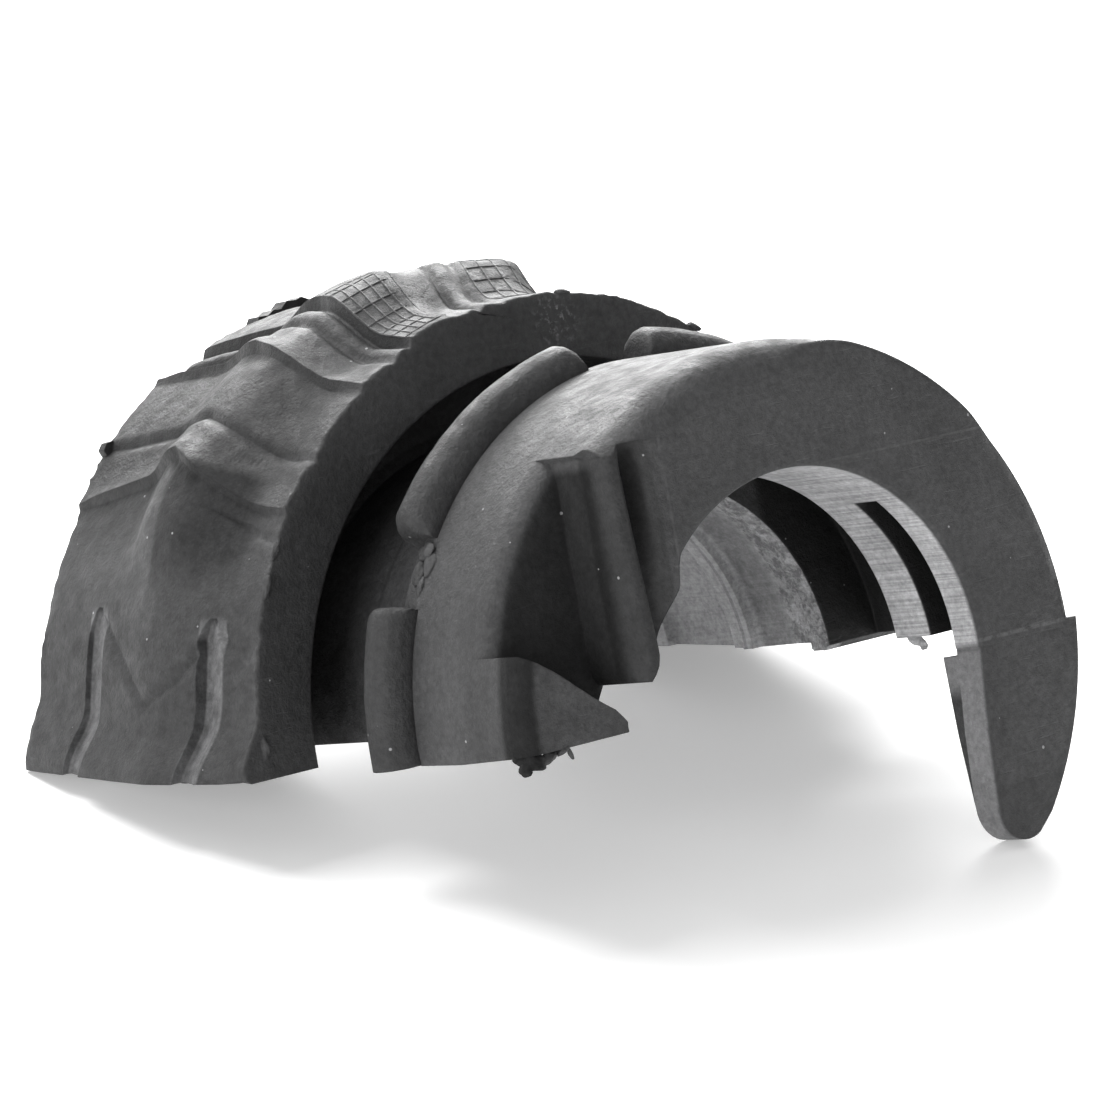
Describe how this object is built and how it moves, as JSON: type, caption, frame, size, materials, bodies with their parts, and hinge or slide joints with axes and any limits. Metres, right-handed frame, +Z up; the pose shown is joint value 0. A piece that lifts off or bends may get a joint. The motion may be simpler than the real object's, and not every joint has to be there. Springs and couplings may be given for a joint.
{
  "type": "sway bar bushing",
  "caption": "Moulded rubber sway bar bushing half that holds a stabiliser bar under a bracket, with a short collar, a long claw and a wide ribbed collar.",
  "frame": {"origin": "bottom centre of the bounding box, on the ground the piece lies on", "axes": "+X towards the front collar, along the bar bore, whose axis climbs towards +X; +Y towards the side with the long claw; +Z up"},
  "size_m": [0.0538, 0.0542, 0.0313],
  "materials": {
    "moulded_rubber": "matte moulded rubber with dust, scuffs and torn edges"
  },
  "bodies": {
    "root": {"sway_bar_bushing": "moulded_rubber"}
  },
  "joints": []
}
